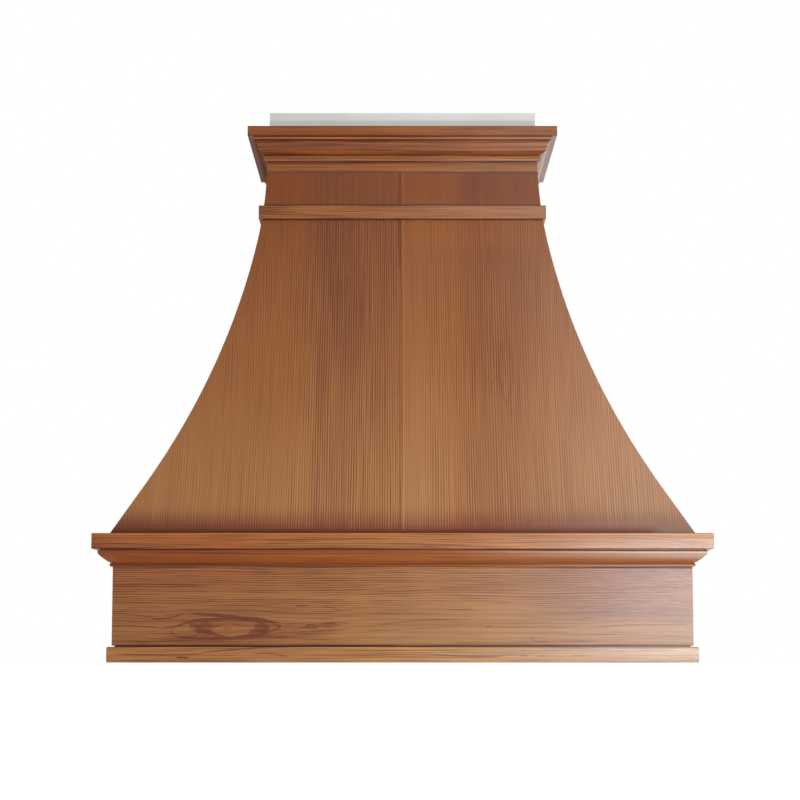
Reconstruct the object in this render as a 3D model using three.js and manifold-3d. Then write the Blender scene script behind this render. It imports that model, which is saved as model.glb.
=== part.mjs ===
// A wooden range hood cover: a flared, veneered shell on a mitred shelf and apron, with a crown moulding
// and a primed plywood box for the duct. Millimetres, +Z up, the wall at +Y, the front towards -Y, and
// the origin on the surface it stands on, at the middle of its outer size.
import * as THREE from "three";
import { mergeVertices } from "three/addons/utils/BufferGeometryUtils.js";
import Module from "manifold-3d";

// Driving dimensions.
const APRON_WIDTH = 914.4; // 36 in across the apron's faces
const APRON_DEPTH = 558.8; // 22 in from the wall to the apron's face
const NECK_WIDTH = 464; // across the neck where its faces are upright
const COLLAR_INSET = 3.3; // primed box behind the neck's face
const SHELF_PROJECTION = 30.3;
const BASE_PROJECTION = 7.3;
const BAND_HALF_WIDTH = 245.5;

// Levels, from the underside of the bottom strip.
const BASE_TOP = 24.3;
const APRON_FOOT = 26.3; // the 2 mm shadow gap lies between this and the bottom strip
const MOULDING_FOOT = 150.2;
const SHELF_FOOT = 176.8;
const SHELF_TOP = 201.4;
const BAND_FOOT = 752.3;
const BAND_TOP = 775.2;
const FRIEZE_FOOT = 835.2;
const CROWN_FOOT = 854.1;
const CROWN_TOP = 909.4;
const COLLAR_TOP = 941;
const COLLAR_FOOT = 700;

// The flare: upright, then a quick bend, a long bend and a straight foot, the same on front and ends.
const UPRIGHT_LEVEL = 865;
const UPPER_RADIUS = 770;
const UPPER_ANGLE = THREE.MathUtils.degToRad(12);
const MAIN_RADIUS = 1395;
const FOOT_ANGLE = THREE.MathUtils.degToRad(31);

// Stock.
const GAP = 0.3;
const PANEL = 6;
const APRON_BOARD = 19;
const SHELF_BOARD = 75;
const BOX_BOARD = 12;
const RIB = 18;
const RIB_DEPTH = 60;
const POST = 34;
const RAIL = 19;
const DECK_WIDTH = 62;
const LINER = 12;
const LEDGER_FOOT = 14;
const LEDGER_TOP = 62;
const LEDGER_DEPTH = 22;
const FRONT_RIB_SPACING = 120;
const SIDE_RIB_PLACE = 120;
const FLARE_STEPS = 26;

// What it is fastened to: a standard insert through the liner panel, and wall studs behind the rail.
const INSERT_CUT_WIDTH = 762;
const INSERT_CUT_DEPTH = 330;
const STUD_SPACING = 406.4;
const SCREW_HOLE_RADIUS = 2.5;

const HALF = APRON_WIDTH / 2;
const NECK = NECK_WIDTH / 2;
const COLLAR = NECK - COLLAR_INSET;
const WALL = (APRON_DEPTH + SHELF_PROJECTION) / 2;
const FRONT = WALL - APRON_DEPTH;

const wasm = await Module();
wasm.setup();

const stainedWood = { color: 0x9a5f3a, roughness: 0.45, metalness: 0 };
const stainedVeneer = { color: 0x95603c, roughness: 0.5, metalness: 0 };
const greyPrimer = { color: 0xc9c7c2, roughness: 0.8, metalness: 0 };
const framePlywood = { color: 0xcfb58a, roughness: 0.8, metalness: 0 };

const hood = new THREE.Group();
hood.name = "range_hood_cover";

function add(name, geometry, finish) {
  const mesh = new THREE.Mesh(geometry, new THREE.MeshStandardMaterial(finish));
  mesh.name = name;
  hood.add(mesh);
}

function toManifold(geometry) {
  return new wasm.Manifold(new wasm.Mesh({
    numProp: 3,
    vertProperties: new Float32Array(geometry.getAttribute("position").array),
    triVerts: new Uint32Array(geometry.index.array),
  }));
}

// What is left of a solid after the cutters have been taken out of it.
function subtract(whole, cutters) {
  const left = cutters.reduce((rest, cutter) => rest.subtract(toManifold(cutter)), toManifold(whole));
  const mesh = left.getMesh();
  const geometry = new THREE.BufferGeometry();
  geometry.setAttribute("position", new THREE.Float32BufferAttribute(mesh.vertProperties, 3));
  geometry.setIndex(Array.from(mesh.triVerts));
  geometry.computeVertexNormals();
  return geometry;
}

// Six times the volume: below zero when the faces point inwards.
function signedVolume(position, index) {
  const a = new THREE.Vector3();
  const b = new THREE.Vector3();
  const c = new THREE.Vector3();
  let total = 0;
  for (let i = 0; i < index.length; i += 3) {
    a.fromBufferAttribute(position, index[i]);
    b.fromBufferAttribute(position, index[i + 1]);
    c.fromBufferAttribute(position, index[i + 2]);
    total += a.dot(b.cross(c));
  }
  return total;
}

// A closed mesh with shared corners, after each of its points has been moved by the given function.
function reshape(geometry, place) {
  geometry.deleteAttribute("normal");
  geometry.deleteAttribute("uv");
  const solid = mergeVertices(geometry, 1e-4);
  const position = solid.getAttribute("position");
  const point = new THREE.Vector3();
  for (let i = 0; i < position.count; i += 1) {
    point.copy(place(point.fromBufferAttribute(position, i)));
    position.setXYZ(i, point.x, point.y, point.z);
  }
  const index = Array.from(solid.index.array);
  if (signedVolume(position, index) < 0) index.reverse();
  solid.setIndex(index);
  solid.computeVertexNormals();
  return solid;
}

// A block between two corners.
function block(low, high) {
  const size = new THREE.Vector3(...high).sub(new THREE.Vector3(...low));
  const middle = new THREE.Vector3(...high).add(new THREE.Vector3(...low)).multiplyScalar(0.5);
  return reshape(new THREE.BoxGeometry(size.x, size.y, size.z), (p) => p.add(middle));
}

function polygon(points) {
  return new THREE.Shape(points.map(([out, up]) => new THREE.Vector2(out, up)));
}

// A section in [out, up] run from one end to the other; each end is a function of out.
function run(section, start, end) {
  const options = { depth: 1, bevelEnabled: false, steps: 1, curveSegments: 6 };
  const bar = new THREE.ExtrudeGeometry(section, options);
  return reshape(bar, (p) => {
    const [x, y] = p.z < 0.5 ? start(p.x) : end(p.x);
    return new THREE.Vector3(x, y, p.y);
  });
}

// Three lengths of one moulding, mitred at the front corners and square at the wall. The section's
// "out" is measured from a face at the given half width; "back" is that face's distance from FRONT.
function mitredRun(name, section, half, back, finish) {
  const face = FRONT + back;
  const miter = GAP / Math.SQRT2;
  const frontLeft = (out) => [-(half + out) + miter, face - out];
  const frontRight = (out) => [half + out - miter, face - out];
  add(`${name}_front`, run(section, frontLeft, frontRight), finish);
  for (const [side, sign] of [["left", -1], ["right", 1]]) {
    const mitred = (out) => [sign * (half + out), face - out + miter];
    const square = (out) => [sign * (half + out), WALL];
    add(`${name}_${side}`, run(section, mitred, square), finish);
  }
}

// Half width of the shell at a level.
function flare(z) {
  const drop = UPRIGHT_LEVEL - z;
  if (drop <= 0) return NECK;
  const upperDrop = UPPER_RADIUS * Math.sin(UPPER_ANGLE);
  if (drop <= upperDrop) return NECK + UPPER_RADIUS - Math.sqrt(UPPER_RADIUS ** 2 - drop ** 2);
  const upperOut = NECK + UPPER_RADIUS * (1 - Math.cos(UPPER_ANGLE));
  const centreOut = upperOut + MAIN_RADIUS * Math.cos(UPPER_ANGLE);
  const centreLevel = UPRIGHT_LEVEL - upperDrop + MAIN_RADIUS * Math.sin(UPPER_ANGLE);
  const below = Math.min(centreLevel - z, MAIN_RADIUS * Math.sin(FOOT_ANGLE));
  const bend = centreOut - Math.sqrt(MAIN_RADIUS ** 2 - below ** 2);
  return bend + (centreLevel - z - below) * Math.tan(FOOT_ANGLE);
}

// The shell's inner face at a level, the panel's thickness being measured square to the curve.
function flareInner(z, thickness) {
  const slope = flare(z - 1) - flare(z);
  return flare(z) - thickness * Math.hypot(1, slope);
}

// The same face, as a distance back from FRONT.
function insetOf(halfWidth) {
  return HALF - halfWidth;
}

// A board bent to the flare: across is 0 to 1 from its start to its hip or wall end, deep is 0 at the
// outer face and 1 at the inner one.
function bentBoard(foot, top, corner, steps) {
  const bar = new THREE.BoxGeometry(1, 1, 1, 1, 1, steps);
  return reshape(bar, (p) => corner(p.x + 0.5, p.y + 0.5, foot + (p.z + 0.5) * (top - foot)));
}

// Panels or facings round the front and both ends, in a left and a right front leaf and two ends.
function shellCourse(names, foot, top, inner, steps, finish) {
  const miter = GAP / Math.SQRT2;
  const faceAt = (deep, z) => (deep < 0.5 ? flare(z) : inner(z));
  for (const [side, sign] of [["left", -1], ["right", 1]]) {
    const leaf = bentBoard(foot, top, (across, deep, z) => {
      const out = faceAt(deep, z);
      const x = across < 0.5 ? GAP / 2 : out - miter;
      return new THREE.Vector3(sign * x, FRONT + insetOf(out), z);
    }, steps);
    add(`${names.front}_${side}`, leaf, finish);
    const end = bentBoard(foot, top, (across, deep, z) => {
      const out = faceAt(deep, z);
      const y = across < 0.5 ? FRONT + insetOf(out) + miter : WALL;
      return new THREE.Vector3(sign * out, y, z);
    }, steps);
    add(`${names.side}_${side}`, end, finish);
  }
}

function buildShell() {
  const joint = (BAND_FOOT + BAND_TOP) / 2;
  const panels = { front: "front_panel", side: "side_panel" };
  const panelBack = (z) => flareInner(z, PANEL);
  shellCourse(panels, SHELF_TOP + GAP, joint, panelBack, FLARE_STEPS, stainedVeneer);
  const facings = { front: "neck_front", side: "neck_side" };
  const facingBack = () => COLLAR + GAP;
  shellCourse(facings, joint + GAP, FRIEZE_FOOT - GAP, facingBack, 4, stainedVeneer);
}

// The strap that covers the joint between panels and neck facings; its back follows the flare.
function buildBand() {
  const half = BAND_HALF_WIDTH;
  const ease = 1;
  const levels = [BAND_FOOT, (BAND_FOOT + BAND_TOP) / 2, BAND_TOP];
  const section = [[0, BAND_FOOT + ease], [0, BAND_TOP - ease], [-ease, BAND_TOP]];
  for (const z of levels.toReversed()) section.push([flare(z) + GAP - half, z]);
  section.push([-ease, BAND_FOOT]);
  mitredRun("band", polygon(section), half, insetOf(half), stainedWood);
}

function buildFrieze() {
  const back = GAP - COLLAR_INSET;
  const top = CROWN_FOOT - GAP;
  const section = polygon([[back, FRIEZE_FOOT], [0, FRIEZE_FOOT], [0, top], [back, top]]);
  mitredRun("frieze", section, NECK, insetOf(NECK), stainedWood);
}

// Crown section, from its foot up: bead, quirk, ogee, cove, small step and square fillet.
function crownSection() {
  const back = GAP - COLLAR_INSET;
  const beadOut = 5.4;
  const ogeeFoot = { out: 6.2, up: 864 };
  const ogeeTop = { out: 15.6, up: 875.1 };
  const coveTop = { out: 21.8, up: 886.6 };
  const stepOut = 24;
  const stepTop = 890.2;
  const filletOut = 32.3;
  const ease = 0.8;
  const section = new THREE.Shape();
  section.moveTo(back, CROWN_FOOT);
  section.lineTo(0.8, CROWN_FOOT);
  section.lineTo(beadOut - 1.6, CROWN_FOOT + 0.6);
  section.quadraticCurveTo(beadOut + 1, CROWN_FOOT + 4.6, beadOut - 1.4, CROWN_FOOT + 8.6);
  section.lineTo(ogeeFoot.out - 2.4, ogeeFoot.up - 0.6);
  section.lineTo(ogeeFoot.out, ogeeFoot.up);
  section.quadraticCurveTo(ogeeTop.out - 1.2, ogeeFoot.up + 3.4, ogeeTop.out, ogeeTop.up - 1.4);
  section.quadraticCurveTo(ogeeTop.out + 1.2, coveTop.up - 4.6, coveTop.out, coveTop.up);
  section.lineTo(stepOut - ease, coveTop.up + 0.4);
  section.lineTo(stepOut, coveTop.up + 1.2);
  section.lineTo(stepOut, stepTop);
  section.lineTo(filletOut - ease, stepTop + 0.4);
  section.lineTo(filletOut, stepTop + 1.4);
  section.lineTo(filletOut, CROWN_TOP - ease);
  section.lineTo(filletOut - ease, CROWN_TOP);
  section.lineTo(back, CROWN_TOP);
  return section;
}

function buildCrown() {
  mitredRun("crown", crownSection(), NECK, insetOf(NECK), stainedWood);
}

// The primed box: front and ends lap the back board, and the whole box drops into notches in the ribs.
function buildCollar() {
  const face = FRONT + insetOf(COLLAR);
  const inner = COLLAR - BOX_BOARD;
  const frontHigh = [COLLAR, face + BOX_BOARD, COLLAR_TOP];
  add("collar_front", block([-COLLAR, face, COLLAR_FOOT], frontHigh), greyPrimer);
  for (const [side, sign] of [["left", -1], ["right", 1]]) {
    const x = [sign * inner, sign * COLLAR].sort((a, b) => a - b);
    const low = [x[0], face + BOX_BOARD + GAP, COLLAR_FOOT];
    add(`collar_${side}`, block(low, [x[1], WALL, COLLAR_TOP]), greyPrimer);
  }
  const backLow = [-inner + GAP, WALL - BOX_BOARD, COLLAR_FOOT];
  add("collar_back", block(backLow, [inner - GAP, WALL, COLLAR_TOP]), greyPrimer);
}

function buildShelf() {
  const ease = 1.2;
  const inner = SHELF_PROJECTION - SHELF_BOARD;
  const section = polygon([[inner, SHELF_FOOT], [SHELF_PROJECTION - ease, SHELF_FOOT],
    [SHELF_PROJECTION, SHELF_FOOT + ease], [SHELF_PROJECTION, SHELF_TOP - ease],
    [SHELF_PROJECTION - ease, SHELF_TOP], [inner, SHELF_TOP]]);
  mitredRun("shelf", section, HALF, 0, stainedWood);
}

// Section under the shelf: square fillet, hollow slope, quirk and small bead.
function buildShelfMoulding() {
  const filletOut = 21.4;
  const filletFoot = 170.4;
  const slopeFoot = { out: 5.4, up: 157 };
  const beadOut = 4.6;
  const top = SHELF_FOOT - GAP;
  const section = new THREE.Shape();
  section.moveTo(GAP, MOULDING_FOOT);
  section.lineTo(beadOut - 1.2, MOULDING_FOOT);
  section.quadraticCurveTo(beadOut + 0.8, MOULDING_FOOT + 2.4, beadOut - 0.8, MOULDING_FOOT + 5);
  section.lineTo(2.6, MOULDING_FOOT + 5.8);
  section.lineTo(slopeFoot.out, slopeFoot.up);
  section.quadraticCurveTo(13.2, 161.6, filletOut - 1.4, filletFoot - 2.2);
  section.lineTo(filletOut, filletFoot);
  section.lineTo(filletOut, top);
  section.lineTo(GAP, top);
  mitredRun("shelf_moulding", section, HALF, 0, stainedWood);
}

function buildApron() {
  const top = SHELF_FOOT - GAP;
  const ease = 0.8;
  const section = polygon([[-APRON_BOARD, APRON_FOOT], [-ease, APRON_FOOT], [0, APRON_FOOT + ease],
    [0, top], [-APRON_BOARD, top]]);
  mitredRun("apron", section, HALF, 0, stainedWood);
}

// The bottom strip, with a rounded upper edge.
function buildBaseStrip() {
  const round = 3;
  const section = new THREE.Shape();
  section.moveTo(-APRON_BOARD, 0);
  section.lineTo(BASE_PROJECTION - 1, 0);
  section.lineTo(BASE_PROJECTION, 1);
  section.lineTo(BASE_PROJECTION, BASE_TOP - round);
  section.absarc(BASE_PROJECTION - round, BASE_TOP - round, round, 0, Math.PI / 2, false);
  section.lineTo(-APRON_BOARD, BASE_TOP);
  mitredRun("base_strip", section, HALF, 0, stainedWood);
}

// Battens behind the shadow gap: the apron and the bottom strip are screwed to them, and so are the
// edges of the liner panel, which fits between them.
function buildLedgers() {
  const face = HALF - APRON_BOARD - GAP;
  const inner = face - LEDGER_DEPTH;
  const frontFace = FRONT + APRON_BOARD + GAP;
  const frontHigh = [face, frontFace + LEDGER_DEPTH, LEDGER_TOP];
  add("ledger_front", block([-face, frontFace, LEDGER_FOOT], frontHigh), framePlywood);
  for (const [side, sign] of [["left", -1], ["right", 1]]) {
    const x = [sign * inner, sign * face].sort((a, b) => a - b);
    const low = [x[0], frontFace + LEDGER_DEPTH + GAP, LEDGER_FOOT];
    add(`ledger_${side}`, block(low, [x[1], WALL, LEDGER_TOP]), framePlywood);
  }
  const backLow = [-inner + GAP, WALL - LEDGER_DEPTH, LEDGER_FOOT];
  add("ledger_back", block(backLow, [inner - GAP, WALL, LEDGER_TOP]), framePlywood);
}

// The board that the extractor is screwed up to, with the cut-out it goes through.
function buildLinerPanel() {
  const half = HALF - APRON_BOARD - LEDGER_DEPTH - 2 * GAP;
  const front = FRONT + APRON_BOARD + LEDGER_DEPTH + 2 * GAP;
  const back = WALL - LEDGER_DEPTH - GAP;
  const top = LEDGER_FOOT + LINER;
  const board = block([-half, front, LEDGER_FOOT], [half, back, top]);
  const cutHalf = INSERT_CUT_WIDTH / 2;
  const cutFront = (front + back - INSERT_CUT_DEPTH) / 2;
  const cutLow = [-cutHalf, cutFront, LEDGER_FOOT - LINER];
  const cutHigh = [cutHalf, cutFront + INSERT_CUT_DEPTH, top + LINER];
  add("liner_panel", subtract(board, [block(cutLow, cutHigh)]), framePlywood);
}

function buildCornerBlocks() {
  const size = 38;
  const face = HALF - APRON_BOARD - GAP;
  const frontFace = FRONT + APRON_BOARD + GAP;
  for (const [side, sign] of [["left", -1], ["right", 1]]) {
    const x = [sign * (face - size), sign * face].sort((a, b) => a - b);
    const low = [x[0], frontFace, LEDGER_TOP + GAP];
    const high = [x[1], frontFace + size, SHELF_FOOT - GAP];
    add(`corner_block_${side}`, block(low, high), framePlywood);
  }
}

const DECK_FOOT = SHELF_TOP + GAP;
const DECK_TOP = DECK_FOOT + RAIL;

// The frame that lies on the shelf inside the shell.
function buildDeck() {
  const out = flareInner(DECK_TOP, PANEL) - GAP;
  const frontFace = FRONT + insetOf(out);
  const inner = out - DECK_WIDTH;
  const frontHigh = [out, frontFace + DECK_WIDTH, DECK_TOP];
  add("deck_rail_front", block([-out, frontFace, DECK_FOOT], frontHigh), framePlywood);
  for (const [side, sign] of [["left", -1], ["right", 1]]) {
    const x = [sign * inner, sign * out].sort((a, b) => a - b);
    const low = [x[0], frontFace + DECK_WIDTH + GAP, DECK_FOOT];
    add(`deck_rail_${side}`, block(low, [x[1], WALL, DECK_TOP]), framePlywood);
  }
  const backLow = [-inner + GAP, WALL - DECK_WIDTH, DECK_FOOT];
  add("deck_rail_back", block(backLow, [inner - GAP, WALL, DECK_TOP]), framePlywood);
}

// A rib's outline as [half width, level]: it follows the shell, and is notched under the primed box.
function ribOutline() {
  const foot = DECK_TOP + GAP;
  const top = BAND_FOOT - 10;
  const notch = COLLAR_FOOT - GAP;
  const outer = flareLevels(foot, top, 20).map((z) => [flareInner(z, PANEL) - GAP, z]);
  const inner = flareLevels(notch, foot, 8).map((z) => [flareInner(z, PANEL) - RIB_DEPTH, z]);
  return polygon([...outer, [COLLAR + GAP, top], [COLLAR + GAP, notch], ...inner]);
}

function flareLevels(from, to, steps) {
  return Array.from({ length: steps + 1 }, (_, i) => from + ((to - from) * i) / steps);
}

function buildRibs() {
  const outline = ribOutline();
  const halfRib = RIB / 2;
  const frontFace = (x) => (out) => [x, FRONT + insetOf(out)];
  const frontRib = (x) => run(outline, frontFace(x - halfRib), frontFace(x + halfRib));
  const sideFace = (sign, y) => (out) => [sign * out, y];
  const sideRib = (sign, y) => run(outline, sideFace(sign, y - halfRib), sideFace(sign, y + halfRib));
  add("rib_front_centre", frontRib(0), framePlywood);
  for (const [side, sign] of [["left", -1], ["right", 1]]) {
    add(`rib_front_${side}`, frontRib(sign * FRONT_RIB_SPACING), framePlywood);
    add(`rib_side_${side}`, sideRib(sign, SIDE_RIB_PLACE), framePlywood);
    add(`rib_rear_${side}`, sideRib(sign, WALL - halfRib), framePlywood);
  }
}

// Square posts bandsawn on both outer faces to sit in the hips.
function buildHipPosts() {
  const foot = DECK_TOP + GAP;
  const top = COLLAR_FOOT - GAP;
  for (const [side, sign] of [["left", -1], ["right", 1]]) {
    const post = bentBoard(foot, top, (across, deep, z) => {
      const out = flareInner(z, PANEL) - GAP;
      const x = out - across * POST;
      return new THREE.Vector3(sign * x, FRONT + insetOf(out) + deep * POST, z);
    }, 20);
    add(`hip_post_${side}`, post, framePlywood);
  }
}

// The hanging rail between the rear ribs: its lower edge slopes down to the wall, to hook behind the
// matching slope of a rail screwed to the studs.
function buildWallCleat() {
  const foot = 590;
  const top = 690;
  const half = flareInner(top, PANEL) - RIB_DEPTH - GAP - 1;
  const section = polygon([[0, foot + RIB], [0, top], [RIB, top], [RIB, foot]]);
  const place = (x) => (out) => [x, WALL - RIB + out];
  add("wall_cleat", run(section, place(-half), place(half)), framePlywood);
}

// The rail between the apron's ends, with a screw hole for each of two wall studs.
function buildLowerWallRail() {
  const half = HALF - APRON_BOARD - GAP;
  const foot = LEDGER_TOP + GAP;
  const top = SHELF_FOOT - GAP;
  const rail = block([-half, WALL - RIB, foot], [half, WALL, top]);
  const holes = [-1, 1].map((sign) => {
    const drill = new THREE.CylinderGeometry(SCREW_HOLE_RADIUS, SCREW_HOLE_RADIUS, 3 * RIB, 16);
    const middle = new THREE.Vector3((sign * STUD_SPACING) / 2, WALL, (foot + top) / 2);
    return reshape(drill, (p) => p.add(middle));
  });
  add("lower_wall_rail", subtract(rail, holes), framePlywood);
}

buildBaseStrip();
buildApron();
buildShelfMoulding();
buildShelf();
buildLedgers();
buildLinerPanel();
buildCornerBlocks();
buildLowerWallRail();
buildDeck();
buildRibs();
buildHipPosts();
buildWallCleat();
buildShell();
buildBand();
buildFrieze();
buildCrown();
buildCollar();

export default hood;
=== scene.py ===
import math

import bpy
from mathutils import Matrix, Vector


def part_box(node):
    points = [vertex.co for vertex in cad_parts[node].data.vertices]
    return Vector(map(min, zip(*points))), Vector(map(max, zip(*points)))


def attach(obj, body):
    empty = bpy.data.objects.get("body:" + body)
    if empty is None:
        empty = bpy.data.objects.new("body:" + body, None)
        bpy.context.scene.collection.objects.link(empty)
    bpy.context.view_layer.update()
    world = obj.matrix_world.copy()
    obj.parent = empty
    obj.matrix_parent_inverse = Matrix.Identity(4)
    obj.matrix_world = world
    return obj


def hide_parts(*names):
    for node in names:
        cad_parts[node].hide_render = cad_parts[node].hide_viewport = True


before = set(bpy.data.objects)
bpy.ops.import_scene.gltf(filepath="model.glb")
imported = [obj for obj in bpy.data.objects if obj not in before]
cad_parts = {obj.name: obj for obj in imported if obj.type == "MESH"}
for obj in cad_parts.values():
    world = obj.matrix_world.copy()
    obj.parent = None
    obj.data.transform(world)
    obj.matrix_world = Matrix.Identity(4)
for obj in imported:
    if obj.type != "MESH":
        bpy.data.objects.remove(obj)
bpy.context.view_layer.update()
bpy.ops.object.select_all(action="DESELECT")


# ---------------------------------------------------------------------------------------------------
# The camera stands 3.42 m in front of the apron, level with the underside of the hood, and is tilted up
# at it, so that the apron's face is 581 pixels wide in a picture of 800.
camera_place = (-0.0041, -3.68825, 0.0038)
camera_tilt = math.radians(6.844)
camera_lens = 97.48

bpy.ops.object.camera_add(location=camera_place, rotation=(math.pi / 2 + camera_tilt, 0, 0))
camera = bpy.context.object
camera.data.lens = camera_lens
camera.data.sensor_width = 36
camera.data.clip_start = 0.01
bpy.context.scene.camera = camera
bpy.context.scene.view_settings.view_transform = "Standard"


# ---------------------------------------------------------------------------------------------------
# The studio: a pale floor and a white surround that fills in. A small softbox stands low on the right and
# gives the apron's end its sheen, a larger one stands above it, and weak ones hang high behind the hood.
# A dark flag behind the left keeps the crown's underside at that end from shining.
class Output:
    """What a shader node gives out. Each operator adds the Math node that works it out."""

    def __init__(self, nodes, socket):
        self.nodes = nodes
        self.socket = socket

    def math(self, operation, *others):
        return self.nodes.math(operation, self, *others)

    def __add__(self, other):
        return self.math("ADD", other)

    def __radd__(self, other):
        return self.math("ADD", other)

    def __sub__(self, other):
        return self.math("SUBTRACT", other)

    def __rsub__(self, other):
        return self.nodes.math("SUBTRACT", other, self)

    def __mul__(self, other):
        return self.math("MULTIPLY", other)

    def __rmul__(self, other):
        return self.math("MULTIPLY", other)

    def __truediv__(self, other):
        return self.math("DIVIDE", other)

    def __rtruediv__(self, other):
        return self.nodes.math("DIVIDE", other, self)

    def __pow__(self, other):
        return self.math("POWER", other)

    def __rpow__(self, other):
        return self.nodes.math("POWER", other, self)

    def ramped(self, low, high):
        """0 up to low, 1 from high on, and an easy slope between; low may be the larger."""
        limits = {"Value": self, "From Min": low, "From Max": high}
        return self.nodes.add("ShaderNodeMapRange", limits, interpolation_type="SMOOTHSTEP")

    def near(self, level, reach):
        """1 at that level, fading to 0 at its reach on both sides."""
        return (self - level).math("ABSOLUTE").ramped(reach, reach * 0.4)


class Nodes:
    """One shader's nodes. Every node comes from add(), which sets its settings before its sockets."""

    def __init__(self, tree):
        self.tree = tree
        tree.nodes.clear()

    def add(self, kind, sockets=(), output=0, stops=(), **settings):
        node = self.tree.nodes.new(kind)
        for name, setting in settings.items():
            setattr(node, name, setting)
        for number, (position, colour) in enumerate(stops):
            if number >= len(node.color_ramp.elements):
                node.color_ramp.elements.new(position)
            node.color_ramp.elements[number].position = position
            node.color_ramp.elements[number].color = (*colour, 1)
        for name, value in dict(sockets).items():
            if isinstance(value, Output):
                self.tree.links.new(value.socket, node.inputs[name])
            else:
                node.inputs[name].default_value = value
        return Output(self, node.outputs[output]) if node.outputs else None

    def math(self, operation, *values):
        return self.add("ShaderNodeMath", enumerate(values), operation=operation)

    def blend(self, factor, low, high, blend_type="MIX"):
        """Two colours mixed; a plain colour is given as three numbers."""
        pair = [value if isinstance(value, Output) else (*value, 1) for value in (low, high)]
        sockets = {0: factor, 6: pair[0], 7: pair[1]}
        return self.add("ShaderNodeMix", sockets, 2, data_type="RGBA", blend_type=blend_type)

    def ramp(self, place, *stops):
        """The colour at a place on a ramp, from its stops (place, colour)."""
        return self.add("ShaderNodeValToRGB", {0: place}, stops=stops)


def material_nodes(name):
    """A new material, and its nodes, cleared."""
    material = bpy.data.materials.new(name)
    material.use_nodes = True
    return material, Nodes(material.node_tree)


def background_rays(nodes):
    """1 for the rays that show the background: the camera's, and those off gloss or through glass."""
    kinds = ("Is Camera Ray", "Is Glossy Ray", "Is Transmission Ray")
    return sum(nodes.add("ShaderNodeLightPath", output=kind) for kind in kinds).math("MINIMUM", 1)


surround_fill = 0.50

world = bpy.data.worlds.new("white_surround")
bpy.context.scene.world = world
world.use_nodes = True
air = Nodes(world.node_tree)
brightness = surround_fill + (1 - surround_fill) * background_rays(air)
sky = air.add("ShaderNodeBackground", {"Color": (1, 1, 1, 1), "Strength": brightness})
air.add("ShaderNodeOutputWorld", {"Surface": sky})


def soft_light(name, place, aim, width, height, radiance):
    """A softbox at a place, turned to what it is aimed at, that the camera doesn't see."""
    bpy.ops.object.light_add(type="AREA", location=place)
    light = bpy.context.object
    light.name = name
    towards = [a - p for a, p in zip(aim, place)]
    flat = math.hypot(towards[0], towards[1])
    light.rotation_euler = (math.atan2(flat, -towards[2]), 0, math.atan2(-towards[0], towards[1]))
    light.data.shape = "RECTANGLE"
    light.data.size = width
    light.data.size_y = height
    light.data.energy = radiance * math.pi * width * height
    light.visible_camera = False


soft_light("low_right_softbox", (0.63, -1.50, 0.12), (0.35, -0.25, 0.09), 0.35, 0.23, 52)
soft_light("upper_right_softbox", (0.45, -1.36, 1.24), (0.2, -0.05, 0.80), 0.5, 0.6, 2.8)
soft_light("high_left_softbox", (-2.0, 0.7, 2.3), (-0.3, 0.1, 0.4), 1.2, 1.2, 2.2)
soft_light("high_right_softbox", (2.0, 0.7, 2.3), (0.3, 0.1, 0.4), 1.2, 1.2, 2.2)
soft_light("back_softbox", (0.3, 2.8, 1.6), (0, 0.3, 0.4), 1.4, 1.0, 2.2)

flag_size = 3
flag_place = (-1.83, 2.4, 1.5)
flag_black = 0.01

bpy.ops.mesh.primitive_plane_add(size=flag_size, location=flag_place, rotation=(math.pi / 2, 0, 0))
flag = bpy.context.object
flag.name = "dark_flag"
flag_cloth, cloth = material_nodes("black_cloth")
felt = cloth.add("ShaderNodeBsdfDiffuse", {"Color": (flag_black, flag_black, flag_black, 1)})
cloth.add("ShaderNodeOutputMaterial", {"Surface": felt})
flag.data.materials.append(flag_cloth)
flag.visible_camera = False
flag.visible_diffuse = False
flag.visible_shadow = False

floor_grey = 0.8
floor_width = 14
floor_drop = 0.0004
shadow_reach = (0.7, 1.5)
glow_by_hood = 0.45
glow_gained = 0.5

bpy.ops.mesh.primitive_plane_add(size=floor_width, location=(0, 0, -floor_drop))
floor = bpy.context.object
floor.name = "studio_floor"
bpy.ops.object.transform_apply(location=True)
floor_paint, paint = material_nodes("pale_floor")
floor_place = paint.add("ShaderNodeTexCoord", output="Object")
far_off = paint.add("ShaderNodeVectorMath", {0: floor_place}, "Value", operation="LENGTH")
lift = background_rays(paint) * (glow_by_hood + far_off.ramped(*shadow_reach) * glow_gained)
matt = paint.add("ShaderNodeBsdfDiffuse", {"Color": (floor_grey, floor_grey, floor_grey, 1)})
glow = paint.add("ShaderNodeEmission", {"Color": (1, 1, 1, 1), "Strength": lift})
both = paint.add("ShaderNodeAddShader", {0: matt, 1: glow})
paint.add("ShaderNodeOutputMaterial", {"Surface": both})
floor.data.materials.append(floor_paint)


# ---------------------------------------------------------------------------------------------------
# The apron: three plain 19 mm boards, mitred at the front corners and glued to the blocks behind, their
# lower edges eased by hand. Flat-sawn stock with a knot to the left, stained and lacquered satin.
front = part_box("apron_front")[0].y
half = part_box("apron_right")[1].x
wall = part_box("apron_right")[1].y


def bow(start, through, end, steps):
    """Points of a hollow or a round, from its start to its end, pulled towards a third point."""
    points = []
    for step in range(steps + 1):
        t = step / steps
        weights = ((1 - t) ** 2, 2 * t * (1 - t), t**2)
        trio = (start, through, end)
        points.append(tuple(sum(w * p[axis] for w, p in zip(weights, trio)) for axis in (0, 1)))
    return points


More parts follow.
